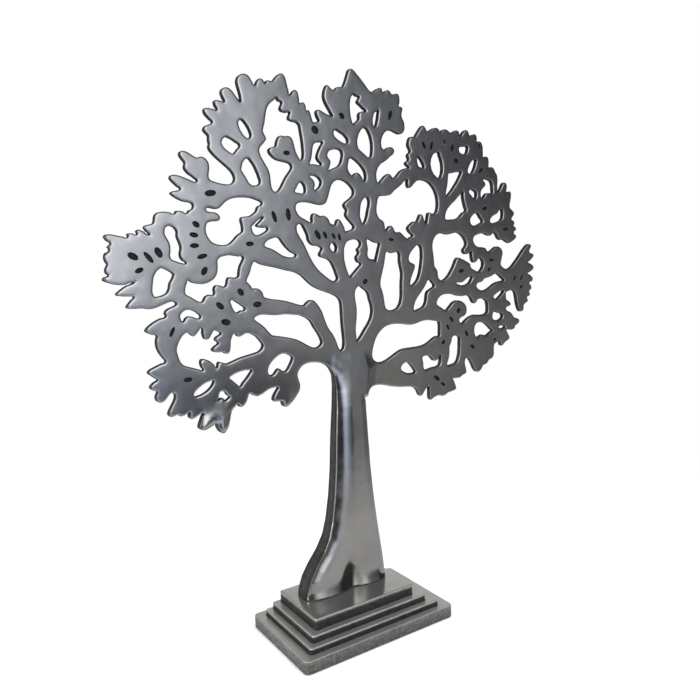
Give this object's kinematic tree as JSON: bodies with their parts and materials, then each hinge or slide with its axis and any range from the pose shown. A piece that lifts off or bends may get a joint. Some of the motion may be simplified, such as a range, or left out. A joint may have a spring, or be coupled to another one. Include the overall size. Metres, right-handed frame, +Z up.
{
  "type": "tree of life ornament",
  "caption": "Flat pierced cast-metal tree with lobed leaf clusters and a flared trunk, bolted from beneath to a stepped rectangular base; a free-standing ornament.",
  "frame": {"origin": "centre of the outer box at its lowest level, which is the underside of the felt pad", "axes": "+Z up, +X to the right as the tree is seen from its front, +Y towards its back; the front face looks along -Y"},
  "size_m": [0.3686, 0.0812, 0.409],
  "materials": {
    "tree_metal": "satin polish, dark unpolished edges",
    "base_metal": "satin polish with dark patina in the corners",
    "screw_steel": "zinc plated",
    "felt": "matt felt"
  },
  "bodies": {
    "root": {"tree_casting": "tree_metal", "stepped_base": "base_metal", "base_felt": "felt", "screw_left": "screw_steel", "screw_right": "screw_steel", "lock_washer_left": "screw_steel", "lock_washer_right": "screw_steel", "washer_left": "screw_steel", "washer_right": "screw_steel"}
  },
  "joints": []
}
